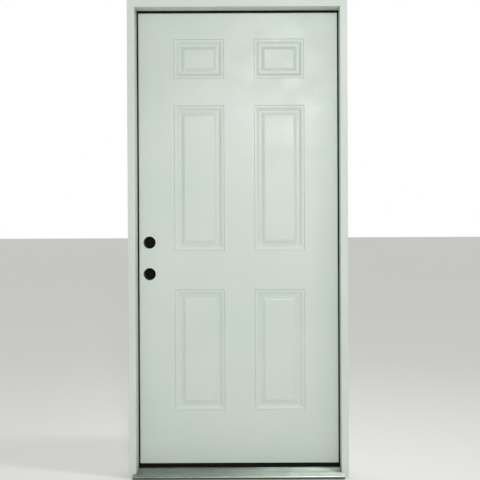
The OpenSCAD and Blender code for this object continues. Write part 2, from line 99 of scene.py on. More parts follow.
# %% Finish helper
class Finish:
    """One material: a Principled shader, and short ways to wire detail into it."""

    def __init__(self, name, colour, roughness, metallic=0.0):
        self.material = bpy.data.materials.new(name)
        self.material.use_nodes = True
        self.tree = self.material.node_tree
        self.shader = self.tree.nodes["Principled BSDF"]
        self.shader.inputs["Base Color"].default_value = colour
        self.shader.inputs["Roughness"].default_value = roughness
        self.shader.inputs["Metallic"].default_value = metallic
        self.coordinates = self.tree.nodes.new("ShaderNodeTexCoord")
        self.last_bump = None

    def feed(self, socket, value):
        """Wires another node's output into a socket, or sets the socket to a plain value."""
        if isinstance(value, bpy.types.NodeSocket):
            self.tree.links.new(value, socket)
        else:
            socket.default_value = value

    def node(self, kind, **inputs):
        """Any node, with its inputs given by name; _ stands for a space in a name."""
        made = self.tree.nodes.new(kind)
        for name, value in inputs.items():
            self.feed(made.inputs[name.replace("_", " ")], value)
        return made

    def stretched(self, stretch):
        """Object coordinates, squeezed by these factors along X, Y and Z."""
        place = self.coordinates.outputs["Object"]
        return self.node("ShaderNodeMapping", Vector=place, Scale=stretch).outputs[0]

    def noise(self, scale, detail=3.0, stretch=(1, 1, 1), distortion=0.0):
        """Soft noise from 0 to 1."""
        made = self.node("ShaderNodeTexNoise", Vector=self.stretched(stretch), Scale=scale,
                         Detail=detail, Distortion=distortion)
        return made.outputs[0]

    def cells(self, scale):
        """Distance to the nearest of many scattered points."""
        place = self.coordinates.outputs["Object"]
        return self.node("ShaderNodeTexVoronoi", Vector=place, Scale=scale).outputs["Distance"]

    def attribute(self, name):
        """A number that the mesh carries at each of its points."""
        made = self.tree.nodes.new("ShaderNodeAttribute")
        made.attribute_name = name
        return made.outputs["Fac"]

    def between(self, value, low, high, to_low=0.0, to_high=1.0):
        """Maps the stretch low..high of a value to to_low..to_high, and holds it there outside."""
        made = self.node("ShaderNodeMapRange", Value=value, From_Min=low, From_Max=high,
                         To_Min=to_low, To_Max=to_high)
        return made.outputs[0]

    def maths(self, operation, a, b):
        made = self.tree.nodes.new("ShaderNodeMath")
        made.operation = operation
        self.feed(made.inputs[0], a)
        self.feed(made.inputs[1], b)
        return made.outputs[0]

    def blend(self, factor, first, second):
        """Mixes two colours, or two colour sockets, by a factor from 0 to 1."""
        made = self.tree.nodes.new("ShaderNodeMix")
        made.data_type = "RGBA"
        factor_in, first_in, second_in = made.inputs[0], made.inputs[6], made.inputs[7]
        self.feed(factor_in, factor)
        self.feed(first_in, first)
        self.feed(second_in, second)
        return made.outputs[2]

    def colour_from(self, socket):
        self.tree.links.new(socket, self.shader.inputs["Base Color"])

    def roughness_from(self, socket):
        self.tree.links.new(socket, self.shader.inputs["Roughness"])

    def bump(self, height, distance):
        """Adds a relief of this height in metres, on top of the reliefs added before."""
        made = self.node("ShaderNodeBump", Height=height, Distance=distance, Strength=1.0)
        if self.last_bump:
            self.tree.links.new(self.last_bump, made.inputs["Normal"])
        self.last_bump = made.outputs[0]
        self.tree.links.new(self.last_bump, self.shader.inputs["Normal"])


print("finish helper ready")

# %% [markdown]
# ## The door's primer
# A steel door leaves the factory with a baked primer: white with a touch of green, satin, and very
# even. Three things keep it from looking like plastic: a fine orange-peel texture about a
# millimetre wide, a slow waviness where the thin sheet follows its foam core, and a darker tone in
# the pressed grooves, partly dust and partly painted shade. The skin's mesh carries how deep each
# point is pressed, and the darker tone follows that. It also marks the foot of the small step around
# each panel, where the colour gets a thin dark line of painted shade.

# %% Door primer
def door_primer():
    finish = Finish("door_primer", rgb(206, 216, 205), 0.42)
    cloud = finish.between(finish.noise(2.2, detail=4), 0.35, 0.65)
    paint = finish.blend(cloud, rgb(203, 214, 204), rgb(209, 217, 210))
    # Darker the deeper the sheet is pressed: partly dust, partly painted shade in the grooves.
    groove_dust_and_shade = finish.maths("MULTIPLY", finish.attribute("pressed"), finish.noise(60, detail=5))
    dusty = finish.blend(finish.between(groove_dust_and_shade, 0.15, 0.75, 0, 0.2), paint, rgb(188, 196, 184))
    # Painted shade: a thin dark line along the foot of each panel's step.
    shaded = finish.maths("MULTIPLY", finish.attribute("step_foot_shade"), 0.45)
    finish.colour_from(finish.blend(shaded, dusty, rgb(104, 112, 100)))
    finish.roughness_from(finish.between(finish.noise(9, detail=5), 0.3, 0.7, 0.36, 0.47))
    waviness = finish.noise(3.1, detail=1)
    orange_peel = finish.noise(650, detail=2)
    finish.bump(waviness, 0.0012)
    finish.bump(orange_peel, 0.00003)
    return finish.material


door_paint = door_primer()
print("made", door_paint.name)

# %% [markdown]
# ## Wood
# The frame and the slab's hidden stiles are pine. Growth bands run along each board, so one
# function draws the bands for any direction of grain: the stretch is small along the grain and
# large across it. The wall of each lock hole gets darker, greyer shades of pine: weathered grey
# wood, darkened further as painted shade inside the hole.

# %% Colour of pine
GRAIN_ALONG = {"X": (0.035, 1, 1), "Z": (1, 1, 0.035)}
YELLOW_PINE = (rgb(222, 190, 140), rgb(190, 146, 92), rgb(150, 108, 62))
# Darker, greyer pine for the lock holes' walls: painted shade on weathered grey wood.
SHADED_GREY_PINE = (rgb(122, 120, 108), rgb(100, 98, 88), rgb(78, 76, 68))


def pine_colour(finish, grain, shades=YELLOW_PINE):
    """Broad growth bands with thinner lines between them; shades are light, dark and line."""
    light, dark, line = shades
    bands = finish.noise(55, detail=2, stretch=grain, distortion=0.6)
    fibres = finish.noise(900, detail=3, stretch=grain)
    wood = finish.blend(finish.between(bands, 0.35, 0.62), light, dark)
    return finish.blend(finish.between(fibres, 0.4, 0.75, 0, 0.35), wood, line)


print("grain can run along", list(GRAIN_ALONG))


# %% Bare pine
def bare_pine(name, along, shades=YELLOW_PINE):
    finish = Finish(name, rgb(214, 180, 128), 0.62)
    grain = GRAIN_ALONG[along]
    finish.colour_from(pine_colour(finish, grain, shades))
    finish.bump(finish.noise(900, detail=3, stretch=grain), 0.00015)
    return finish.material


upright_pine = bare_pine("bare_pine_upright", "Z")
level_pine = bare_pine("bare_pine_level", "X")
shaded_lock_wood = bare_pine("lock_wood_painted_shade", "Z", SHADED_GREY_PINE)
print("made", [m.name for m in (upright_pine, level_pine, shaded_lock_wood)])

# %% [markdown]
# ## The frame's primer
# The frame is jointed pine with a thinner primer than the slab, so faint grain still shows along
# each board, and the sawn ends stay bare. We could paint the ends as a second material, but the
# shader can find them by itself: they are the faces that look along the grain.

# %% Primed wood
def primed_wood(name, along):
    finish = Finish(name, rgb(205, 215, 204), 0.5)
    bands = finish.noise(70, detail=4, stretch=GRAIN_ALONG[along], distortion=0.4)
    cloud = finish.between(finish.noise(3, detail=3), 0.35, 0.65)
    paint = finish.blend(cloud, rgb(203, 214, 203), rgb(209, 218, 209))
    paint = finish.blend(finish.between(bands, 0.5, 0.8, 0, 0.16), paint, rgb(188, 194, 178))
    facing = finish.node("ShaderNodeSeparateXYZ", Vector=finish.coordinates.outputs["Normal"])
    along_grain = finish.maths("ABSOLUTE", facing.outputs[along], 0.0)
    end_grain = finish.between(along_grain, 0.93, 0.97)
    finish.colour_from(finish.blend(end_grain, paint, pine_colour(finish, (1, 1, 1))))
    finish.roughness_from(finish.between(bands, 0.3, 0.7, 0.44, 0.56))
    finish.bump(bands, 0.00025)
    finish.bump(finish.noise(480, detail=3), 0.00005)
    return finish.material


leg_paint = primed_wood("frame_primer_upright", "Z")
head_paint = primed_wood("frame_primer_level", "X")
print("made", [m.name for m in (leg_paint, head_paint)])

# %% [markdown]
# ## The sill's aluminium
# The sill's deck is drawn aluminium, left as it came from the die. Fine lines run along its whole
# length and smear every reflection across them, so we use the shader's anisotropy, with a tangent
# that follows a map laid across the lines. Scuffs from shoes are duller and darker.

# %% Mill aluminium
def mill_aluminium():
    finish = Finish("mill_aluminium", rgb(170, 182, 172), 0.3, metallic=1.0)
    lines = finish.noise(1500, detail=3, stretch=(0.012, 1, 1))
    bands = finish.noise(120, detail=3, stretch=(0.02, 1, 1))
    scuffs = finish.noise(38, detail=6, stretch=(0.35, 1, 1), distortion=1.2)
    worn = finish.between(scuffs, 0.62, 0.72)
    metal = finish.blend(finish.between(bands, 0.3, 0.7), rgb(150, 165, 154), rgb(182, 193, 184))
    finish.colour_from(finish.blend(finish.maths("MULTIPLY", worn, 0.5), metal, rgb(118, 126, 116)))
    drawn = finish.between(lines, 0.3, 0.7, 0.3, 0.36)
    dust = finish.between(finish.noise(11, detail=5), 0.45, 0.7, 0, 0.08)
    dull = finish.maths("ADD", dust, finish.maths("MULTIPLY", worn, 0.15))
    finish.roughness_from(finish.maths("ADD", drawn, dull))
    finish.bump(bands, 0.00025)
    finish.bump(lines, 0.0002)
    finish.shader.inputs["Anisotropic"].default_value = 1.0
    tangent = finish.node("ShaderNodeTangent")
    tangent.direction_type = "UV_MAP"
    tangent.uv_map = "across_lines"
    finish.tree.links.new(tangent.outputs[0], finish.shader.inputs["Tangent"])
    return finish.material


sill_metal = mill_aluminium()
print("made", sill_metal.name)

# %% [markdown]
# ## Plated steel
# The hinges are steel with a satin nickel plate, brushed along their height, and the screws are
# plated with yellowish zinc, which has no direction. Both go dull and darker in patches.

# %% Plated steel
def plated_steel(name, colour, roughness, brushed):
    finish = Finish(name, colour, roughness, metallic=1.0)
    lines = finish.noise(1400, detail=2, stretch=brushed)
    patches = finish.noise(70, detail=4)
    streaks = finish.between(lines, 0.3, 0.7, roughness - 0.06, roughness + 0.06)
    finish.roughness_from(finish.maths("ADD", streaks, finish.between(patches, 0.5, 0.8, 0, 0.12)))
    darker = tuple(0.72 * c for c in colour[:3]) + (1.0,)
    finish.colour_from(finish.blend(finish.between(patches, 0.45, 0.8, 0, 0.6), colour, darker))
    finish.bump(lines, 0.00003)
    return finish.material


hinge_metal = plated_steel("satin_nickel", rgb(200, 198, 190), 0.3, (1, 1, 0.02))
screw_metal = plated_steel("yellow_zinc", rgb(206, 194, 150), 0.34, (1, 1, 1))
print("made", [m.name for m in (hinge_metal, screw_metal)])

# %% [markdown]
# ## Black seals, cap and sweep
# The cap and the sweep are extruded vinyl: black with a dull shine and faint lines from the die. The
# seals are foam inside a thin skin, softer and less shiny. Both pick up some pale dust. One
# function makes all three, because only the shade, the dullness and the grain's direction differ.

# %% Black vinyl and seal skin
def black_vinyl(name, shade, roughness, pebble, along):
    black = rgb(shade, shade, shade)
    dusty = rgb(shade + 24, shade + 25, shade + 22)
    finish = Finish(name, black, roughness)
    dust = finish.noise(45, detail=6)
    finish.colour_from(finish.blend(finish.between(dust, 0.6, 0.9, 0, 0.4), black, dusty))
    finish.shader.inputs["Specular IOR Level"].default_value = 0.15
    finish.roughness_from(finish.between(dust, 0.4, 0.7, roughness, roughness + 0.15))
    finish.bump(finish.noise(700, detail=2, stretch=GRAIN_ALONG[along]), 0.00005)
    finish.bump(finish.noise(pebble, detail=2), 0.00006)
    return finish.material


cap_vinyl = black_vinyl("cap_vinyl", 6, 0.55, 900, "X")
seal_skin_upright = black_vinyl("seal_skin_upright", 8, 0.6, 1500, "Z")
seal_skin_level = black_vinyl("seal_skin_level", 8, 0.6, 1500, "X")
print("made", [m.name for m in (cap_vinyl, seal_skin_upright, seal_skin_level)])

# %% [markdown]
# ## Hidden fillings
# The sill's base and the slab's bottom rail are a grey composite full of wood flour, and the core
# is cream foam with tiny cells. They show little or not at all, but each still gets its own
# surface: a pattern of cells gives both the specks and the open pores.

# %% Composite and foam
def speckled(name, ground, speck, scale, roughness):
    finish = Finish(name, ground, roughness)
    specks = finish.cells(scale)
    finish.colour_from(finish.blend(finish.between(specks, 0.1, 0.35), speck, ground))
    finish.bump(specks, 0.0002)
    return finish.material


composite = speckled("sill_composite", rgb(78, 76, 72), rgb(120, 112, 98), 420, 0.7)
core_foam = speckled("core_foam", rgb(236, 226, 186), rgb(200, 186, 140), 900, 0.8)
print("made", composite.name, core_foam.name)

# %% [markdown]
# ## Helpers for shapes
# Real edges are never perfectly sharp, and outlines of extrusions have small rounds where the die
# or the press can't make a corner. `rounded` turns the corners of an outline into short curves.
# `add_piece` turns a mesh into a finished piece: smooth shading with sharp edges kept, a material,
# and the body that it moves with; it also hides the CAD node that it stands for. `extrude_outline`
# makes a bar, and `eased_copy` takes a CAD mesh that is right already and only rounds its long edges.

# %% Rounding an outline
ROUND_STEPS = 5


def rounded(points, radius, closed=True):
    """Rounds each corner of an outline: radius is how far from the corner the curve starts."""
    count = len(points)
    result = []
    for i, corner in enumerate(points):
        if not closed and i in (0, count - 1):
            result.append(tuple(corner))
            continue
        corner = Vector(corner)
        before, after = Vector(points[i - 1]), Vector(points[(i + 1) % count])
        reach = min(radius, (before - corner).length * 0.45, (after - corner).length * 0.45)
        start = corner + (before - corner).normalized() * reach
        end = corner + (after - corner).normalized() * reach
        for step in range(ROUND_STEPS + 1):
            t = step / ROUND_STEPS
            result.append(tuple(start * (1 - t) ** 2 + corner * 2 * t * (1 - t) + end * t ** 2))
    return result


print("points in a rounded square:", len(rounded([(0, 0), (1, 0), (1, 1), (0, 1)], 0.1)))


# %% Making a piece
def add_piece(name, bm, material, body, replaced=None, sharp=30):
    """Makes an object of a finished bmesh and ties it to the construction."""
    bmesh.ops.recalc_face_normals(bm, faces=bm.faces)
    mesh = bpy.data.meshes.new(name)
    bm.to_mesh(mesh)
    bm.free()
    mesh.shade_smooth()
    mesh.set_sharp_from_angle(angle=math.radians(sharp))
    mesh.materials.clear()
    mesh.materials.append(material)
    piece = bpy.data.objects.new(name, mesh)
    bpy.context.scene.collection.objects.link(piece)
    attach(piece, body)
    if replaced:
        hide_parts(replaced)
    print(f"{name}: {len(mesh.polygons)} faces")
    return piece


# %% Bars and eased copies
SAME_PLACE = 1e-6
STILL_FLAT = math.radians(0.5)
CORNER_FROM = math.radians(30)


def extrude_outline(outline, start, end, place):
    """A closed bar: the outline at start and at end, put into space by place(a, b, along)."""
    bm = bmesh.new()
    ends = [[bm.verts.new(place(a, b, along)) for a, b in outline] for along in (start, end)]
    for i in range(len(outline)):
        j = (i + 1) % len(outline)
        bm.faces.new((ends[0][i], ends[0][j], ends[1][j], ends[1][i]))
    bm.faces.new(ends[0])
    bm.faces.new(reversed(ends[1]))
    return bm


def eased_copy(node, width, shortest=0.02, segments=3):
    """A CAD node's mesh with its long edges rounded over, as sandpaper or a die leaves them."""
    bm = bmesh.new()
    bm.from_mesh(cad_nodes[node].data)
    bmesh.ops.remove_doubles(bm, verts=bm.verts, dist=SAME_PLACE)
    bmesh.ops.dissolve_limit(bm, angle_limit=STILL_FLAT, verts=bm.verts, edges=bm.edges)
    edges = [e for e in bm.edges if len(e.link_faces) == 2 and e.calc_length() > shortest
             and e.calc_face_angle() > CORNER_FROM]
    bmesh.ops.bevel(bm, geom=edges, offset=width, segments=segments, profile=0.5, affect="EDGES",
                    clamp_overlap=False)
    return bm


print("shape helpers ready")

# %% [markdown]
# ## The pressed skins
# Each face of the slab is one sheet of steel, 0.6 mm thick. The press gives it six panels: around
# each runs a small step, a narrow flat, an S-curve down into a groove, and a wider S-curve back up
# to the field. A flat sheet with a bump map would look flat from the side, so we build the sheet.
# We draw the moulding's section once, carry it round each panel as a set of rings, fill the flat
# parts between with triangles, fold the upright edges back, and let Solidify give the thickness.

# %% Layout of the sheet
SHEET = 0.0006
FOLD_RADIUS = 0.0012
LATCH_BAND, HINGE_BAND, MULLION = 0.171, 0.1615, 0.133
BANDS_AND_PANELS = [(0.232, 0.536), (0.171, 0.643), (0.119, 0.174)]
slab_low, slab_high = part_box("exterior_skin")
slab_width = slab_high.x - slab_low.x
slab_height = slab_high.z - slab_low.z
flange = slab_high.y - slab_low.y
panel_width = (slab_width - LATCH_BAND - HINGE_BAND - MULLION) / 2
panel_columns = [(x, x + panel_width) for x in (LATCH_BAND, LATCH_BAND + panel_width + MULLION)]
panel_rows = []
reached = 0.0
for band, panel in BANDS_AND_PANELS:
    panel_rows.append((reached + band, reached + band + panel))
    reached += band + panel
print(f"slab {slab_width:.3f} x {slab_height:.3f}, panels {panel_width:.3f} wide")

# %% Lock holes
BACKSET, LATCH_HEIGHT, HOLE_SPACING = 0.0603, 0.837, 0.1397
HOLE_RADIUS = 0.027
HOLE_GUARD = 0.002
lock_holes = [(BACKSET, LATCH_HEIGHT), (BACKSET, LATCH_HEIGHT + HOLE_SPACING)]
print("lock holes at", lock_holes)

# %% Section of the moulding
STEP_WIDTH, STEP_DEPTH, STEP_ROUND = 0.0015, 0.002, 0.0005
STEP_FOOT = (0.0010, 0.0021)
FLAT_BEFORE = 0.001
FLAT_END = 0.009
GROOVE_START, GROOVE_END, GROOVE = 0.024, 0.031, 0.008
FIELD_START, FIELD_MARGIN, FIELD = 0.049, 0.003, 0.002
CURVE_STEPS = 12
GUARD = 0.0003


def s_curve(start, end, from_depth, to_depth):
    """Points of a soft S between two flats; the guard points keep the flats' shading flat."""
    points = [(start - GUARD, from_depth)]
    for i in range(CURVE_STEPS + 1):
        t = i / CURVE_STEPS
        share = (1 - math.cos(math.pi * t)) / 2
        points.append((start + (end - start) * t, from_depth + (to_depth - from_depth) * share))
    return points + [(end + GUARD, to_depth)]


def moulding_section():
    """(distance in from the panel's outline, depth) from the flat sheet to the field."""
    corners = [(-FLAT_BEFORE, 0), (0, 0), (STEP_WIDTH, STEP_DEPTH), (FLAT_END, STEP_DEPTH)]
    step = rounded(corners, STEP_ROUND, closed=False)
    step[-1] = (step[-2][0] + GUARD, STEP_DEPTH)
    down = s_curve(FLAT_END, GROOVE_START, STEP_DEPTH, GROOVE)
    up = s_curve(GROOVE_END, FIELD_START, GROOVE, FIELD)
    return step + down + up + [(FIELD_START + FIELD_MARGIN, FIELD)]


section = moulding_section()
print(len(section), "points in the moulding's section")

# %% [markdown]
# A pressed corner isn't a knife-sharp mitre: the sheet turns it in a small round. Each ring is
# therefore a rectangle with rounded corners, all with the same small radius.

# %% Rings and circles
CORNER_RADIUS = 0.0022
CORNER_STEPS = 5
CIRCLE_STEPS = 72


def rounded_ring(x0, x1, z0, z1):
    """Points of a rectangle with rounded corners, all the way round."""
    radius = CORNER_RADIUS
    points = []
    for cx, cz, turn in ((x1 - radius, z0 + radius, -90), (x1 - radius, z1 - radius, 0),
                         (x0 + radius, z1 - radius, 90), (x0 + radius, z0 + radius, 180)):
        for step in range(CORNER_STEPS + 1):
            angle = math.radians(turn + 90 * step / CORNER_STEPS)
            points.append((cx + radius * math.cos(angle), cz + radius * math.sin(angle)))
    return points


def circle(cx, cz, radius):
    angles = [2 * math.pi * i / CIRCLE_STEPS for i in range(CIRCLE_STEPS)]
    return [(cx + radius * math.cos(a), cz + radius * math.sin(a)) for a in angles]


print("points in a ring:", len(rounded_ring(0, 1, 0, 1)))


# %% Filling the flat of the sheet
INSIDE_ONLY = 1
SAME_POINT = 1e-7


def inside(point, loop):
    """Whether a point lies inside a closed loop, by counting the sides to its right."""
    within = False
    for i in range(len(loop)):
        (ax, ay), (bx, by) = loop[i - 1], loop[i]
        if (ay > point.y) != (by > point.y) and point.x < ax + (bx - ax) * (point.y - ay) / (by - ay):
            within = not within
    return within


def fill_between(outline, holes):
    """Triangles that fill an outline but leave its holes open."""
    points, edges = [], []
    for loop in [outline] + holes:
        first = len(points)
        points += [Vector(p) for p in loop]
        edges += [(first + i, first + (i + 1) % len(loop)) for i in range(len(loop))]
    places, _, faces, _, _, _ = geometry.delaunay_2d_cdt(points, edges, [], INSIDE_ONLY, SAME_POINT)
    kept = []
    for face in faces:
        middle = sum((places[i] for i in face), Vector((0, 0))) / len(face)
        if inside(middle, outline) and not any(inside(middle, hole) for hole in holes):
            kept.append(face)
    return places, kept


print("fill helper ready")

# %% [markdown]
# The sheet is one open surface, and its parts have to share their points or the shading would break
# between them. A small class remembers each point that it has made. Its methods are the press's
# own steps: press a panel, pierce a lock hole, fold an edge back.

# %% The sheet and the press's steps
FOLD_ANGLES = [math.radians(15 * k) for k in range(7)]


class Sheet:
    """One open surface. inward is +1 if the slab lies behind the face in +Y, else -1."""

    def __init__(self, face_y, inward):
        self.bm = bmesh.new()
        self.pressed = self.bm.verts.layers.float.new("pressed")
        # This layer marks the step's foot, where the primer paints a thin line of shade.
        self.step_foot_shade = self.bm.verts.layers.float.new("step_foot_shade")
        self.face_y = face_y
        self.inward = inward
        self.made = {}

    def vertex(self, x, z, depth=0.0):
        key = (round(x, 6), round(z, 6), round(depth, 6))
        if key not in self.made:
            place = (slab_low.x + x, self.face_y + self.inward * depth, slab_low.z + z)
            self.made[key] = self.bm.verts.new(place)
            self.made[key][self.pressed] = depth / GROOVE
        return self.made[key]

    def press_panel(self, x0, x1, z0, z1):
        """Carries the moulding's section round one panel; returns the window that it fills."""
        loops = [rounded_ring(x0 + inset, x1 - inset, z0 + inset, z1 - inset) for inset, _ in section]
        rings = []
        for loop, (inset, depth) in zip(loops, section):
            ring = [self.vertex(*point, depth) for point in loop]
            for vert in ring:
                vert[self.step_foot_shade] = float(STEP_FOOT[0] < inset < STEP_FOOT[1])
            rings.append(ring)
        for outer, inner in zip(rings, rings[1:]):
            for i in range(len(outer)):
                self.bm.faces.new((outer[i - 1], outer[i], inner[i], inner[i - 1]))
        self.bm.faces.new(rings[-1])
        return loops[0]

    def pierce(self, x, z):
        """A lock hole with a narrow collar, so that the flat's shading stays flat."""
        rim = circle(x, z, HOLE_RADIUS)
        guard = circle(x, z, HOLE_RADIUS + HOLE_GUARD)
        for i in range(len(rim)):
            corners = (rim[i - 1], rim[i], guard[i], guard[i - 1])
            self.bm.faces.new([self.vertex(*corner) for corner in corners])
        return guard

    def fold(self, x, z0, z1, side):
        """Turns an upright edge back round the fold's radius, and down to the flange's end."""
        across = [(x + side * FOLD_RADIUS * math.sin(a), FOLD_RADIUS * (1 - math.cos(a)))
                  for a in FOLD_ANGLES]
        across.append((across[-1][0], flange))
        for (xa, da), (xb, db) in zip(across, across[1:]):
            corners = [(xa, z0, da), (xa, z1, da), (xb, z1, db), (xb, z0, db)]
            self.bm.faces.new([self.vertex(*corner) for corner in corners])


print("sheet helper ready")

# %% Outline of the flat, with notches for the hinge leaves
NOTCH_DEPTH = 0.0016


def flat_outline(notches):
    """The flat's outline, and the stretches of its upright edges that are folded back."""
    left, right = FOLD_RADIUS, slab_width - FOLD_RADIUS
    outline = [(left, 0), (right, 0)]
    folds = [(left, 0, slab_height, -1)]
    below = 0
    for low, high in sorted(notches):
        deep = right - NOTCH_DEPTH
        outline += [(right, low), (deep, low), (deep, high), (right, high)]
        folds.append((right, below, low, 1))
        below = high
    folds.append((right, below, slab_height, 1))
    outline += [(right, slab_height), (left, slab_height)]
    return outline, folds


print("corners without a notch:", len(flat_outline([])[0]))


# %% One whole sheet
def skin_mesh(face_y, inward, notches):
    """Panels, holes, flat and folds, in that order, as one open surface."""
    sheet = Sheet(face_y, inward)
    windows = [sheet.press_panel(x0, x1, z0, z1) for x0, x1 in panel_columns for z0, z1 in panel_rows]
    guards = [sheet.pierce(x, z) for x, z in lock_holes]
    outline, folds = flat_outline(notches)
    places, faces = fill_between(outline, windows + guards)
    for face in faces:
        sheet.bm.faces.new([sheet.vertex(places[i].x, places[i].y) for i in face])
    for stretch in folds:
        sheet.fold(*stretch)
    fold_from = slab_width / 2 - 2 * FOLD_RADIUS
    for vert in sheet.bm.verts:
        on_fold = abs(vert.co.x) >= fold_from
        vert[sheet.pressed] = 0.0 if on_fold else min(1.0, vert[sheet.pressed])
    return sheet.bm


def thicken(bm, inward):
    """Gives the open surface its sheet thickness, towards the slab's inside."""
    bmesh.ops.recalc_face_normals(bm, faces=bm.faces)
    if sum(face.normal.y * face.calc_area() for face in bm.faces) * inward > 0:
        bmesh.ops.reverse_faces(bm, faces=bm.faces)
    mesh = bpy.data.meshes.new("open_sheet")
    bm.to_mesh(mesh)
    bm.free()
    sheet = bpy.data.objects.new("open_sheet", mesh)
    bpy.context.scene.collection.objects.link(sheet)
    solidify = sheet.modifiers.new("thickness", "SOLIDIFY")
    solidify.thickness = SHEET
    solidify.offset = -1
    solid = bmesh.new()
    solid.from_object(sheet, bpy.context.evaluated_depsgraph_get())
    bpy.data.objects.remove(sheet)
    return solid


print("skin helpers ready")

# %% [markdown]
# Both skins are pressed in the same tool, so indoors and outdoors look alike. Only the indoor skin
# is notched, because the hinge leaves are let into the slab's edge there.

# %% Both skins
NOTCH_PLAY = 0.0002
HINGES = ("upper", "middle", "lower")
leaf_notches = []
for hinge in HINGES:
    low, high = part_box(f"{hinge}_door_leaf")
    leaf_notches.append((low.z - slab_low.z - NOTCH_PLAY, high.z - slab_low.z + NOTCH_PLAY))
indoor_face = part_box("interior_skin")[1].y


def add_skin(name, face_y, inward, notches, node):
    solid = thicken(skin_mesh(face_y, inward, notches), inward)
    add_piece(name, solid, door_paint, "door", node, sharp=40)


add_skin("pressed_skin_outdoors", slab_low.y, 1, [], "exterior_skin")
add_skin("pressed_skin_indoors", indoor_face, -1, leaf_notches, "interior_skin")

# %% [markdown]
# ## Lock holes
# The lock holes are empty, and against a lit doorway they look black because the room behind is
# dark. A studio is bright all round, so we close each hole near its indoor end with a thin card of
# black vinyl, slightly dished: painted shade that stands in for that dark room. The wall of the hole
# stays visible in front of it. A card is round, so we spin half of its outline round an axis; the
# hinge pins are made the same way later.

# %% Spinning an outline
SPIN_STEPS = 48


def turned(half_outline, place):
    """Spins (radius, height) points round an axis; place(a, b, height) puts a point into space."""
    bm = bmesh.new()
    turns = [2 * math.pi * i / SPIN_STEPS for i in range(SPIN_STEPS)]
    rings = []
    for radius, height in half_outline:
        if radius == 0:
            rings.append([bm.verts.new(place(0, 0, height))] * SPIN_STEPS)
            continue
        ring = [(radius * math.cos(a), radius * math.sin(a)) for a in turns]
        rings.append([bm.verts.new(place(a, b, height)) for a, b in ring])
    for below, above in zip(rings, rings[1:]):
        for i in range(SPIN_STEPS):
            corners = [below[i - 1], below[i], above[i], above[i - 1]]
            bm.faces.new(list(dict.fromkeys(corners)))
    return bm


print("spin helper ready")

# %% Cards that darken the lock holes
CARD = 0.0008
CARD_BACK = 0.0025
CARD_PLAY = 0.0002
rim = HOLE_RADIUS - CARD_PLAY
dish = [
    (0, 0.0006),
    (rim * 0.7, 0.0004),
    (rim - 0.0006, 0),
    (rim, 0.0001),
    (rim, CARD),
    (rim * 0.7, CARD + 0.0004),
    (0, CARD + 0.0006),
]
# Painted shade: each black card stands in for the dark room seen through its hole.
for name, (x, z) in zip(("latch", "deadbolt"), lock_holes):
    front = indoor_face - CARD_BACK
    card = turned(dish, lambda a, b, h: (slab_low.x + x + a, front - h, slab_low.z + z + b))
    add_piece(f"lock_hole_shade_card_{name}", card, cap_vinyl, "door", sharp=45)

# %% [markdown]
# ## Frame
# The legs and the head have the right shape already, with their housings, pockets and saw cuts.
# What they lack is the small round that a planer leaves on every long edge and that catches the
# light, so we replace each by a copy with eased edges.

# %% Legs and head
ARRIS = 0.0012
for name, node, paint in (("leg_hinge_side", "hinge_jamb", leg_paint),
                          ("leg_strike_side", "strike_jamb", leg_paint),
                          ("head", "head_jamb", head_paint)):
    add_piece(name, eased_copy(node, ARRIS), paint, "frame", node)

# %% [markdown]
# ## Cut wood, core and sill base
# The slab's stiles, rails, lock block and core, and the sill's base, keep their CAD mesh: only
# their material shows, between the folded skins and at the ends. The lock block shows as the wall
# of each lock hole, so it gets the darker, greyer pine: weathered grey wood with painted shade.

# %% Pieces that keep their mesh
def dress(node, material):
    """Gives a CAD node that keeps its own mesh its finish."""
    mesh = cad_nodes[node].data
    mesh.materials.clear()
    mesh.materials.append(material)
    print(f"{node}: {material.name}")


for stile in ("latch_stile", "hinge_stile"):
    dress(stile, upright_pine)
# Painted shade: the lock holes' walls get the darker, greyer pine.
dress("lock_block", shaded_lock_wood)
dress("top_rail", level_pine)
dress("bottom_rail", composite)
dress("foam_core", core_foam)
dress("sill_base", composite)

# %% [markdown]
# ## Sill deck
# The deck is one aluminium extrusion: a rounded nose with a hook under it, a slope that sheds the
# rain, a flat that carries the cap, and a lip indoors. The slope has a few shallow grooves so that
# a wet shoe doesn't slip. An extrusion is an outline pulled along a line, and we build it that way.

# %% Nose and slope
NOSE_RADIUS = 0.004
NOSE_FOOT = 0.009
RIB_GROOVE_DEPTH = 0.0006
RIB_GROOVE_SIDE = 0.0006
RIB_GROOVE_WIDTH = 0.0022
GROOVES_FROM_NOSE = (0.010, 0.017, 0.024)
GROOVES_FROM_CAP = (0.030, 0.023, 0.016)
deck_low, deck_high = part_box("sill_deck")
cap_low, cap_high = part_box("sill_cap")


def nose_arc(radius, turns):
    """Points round the nose from its foot to its top."""
    centre_y, centre_z = deck_low.y + NOSE_RADIUS, NOSE_FOOT + NOSE_RADIUS
    angles = [math.radians(-90 - 180 * i / turns) for i in range(turns + 1)]
    return [(centre_y + radius * math.cos(a), centre_z + radius * math.sin(a)) for a in angles]


def slope_with_grooves(start, end):
    """The top of the slope, with a group of shallow grooves near each end."""
    run = Vector(end) - Vector(start)
    groove = [(0, 0), (RIB_GROOVE_SIDE, RIB_GROOVE_DEPTH),
              (RIB_GROOVE_WIDTH - RIB_GROOVE_SIDE, RIB_GROOVE_DEPTH), (RIB_GROOVE_WIDTH, 0)]
    offsets = list(GROOVES_FROM_NOSE) + [run.length - back for back in GROOVES_FROM_CAP]
    points = []
    for offset in offsets:
        for across, down in groove:
            place = Vector(start) + run.normalized() * (offset + across)
            points.append((place.x, place.y - down))
    return points


print("slope from nose to cap:", round(cap_low.y - deck_low.y, 4))

# %% Deck
DECK_SHEET = 0.002
DECK_BEND = 0.002
HOOK = 0.012
SLANT = 0.7


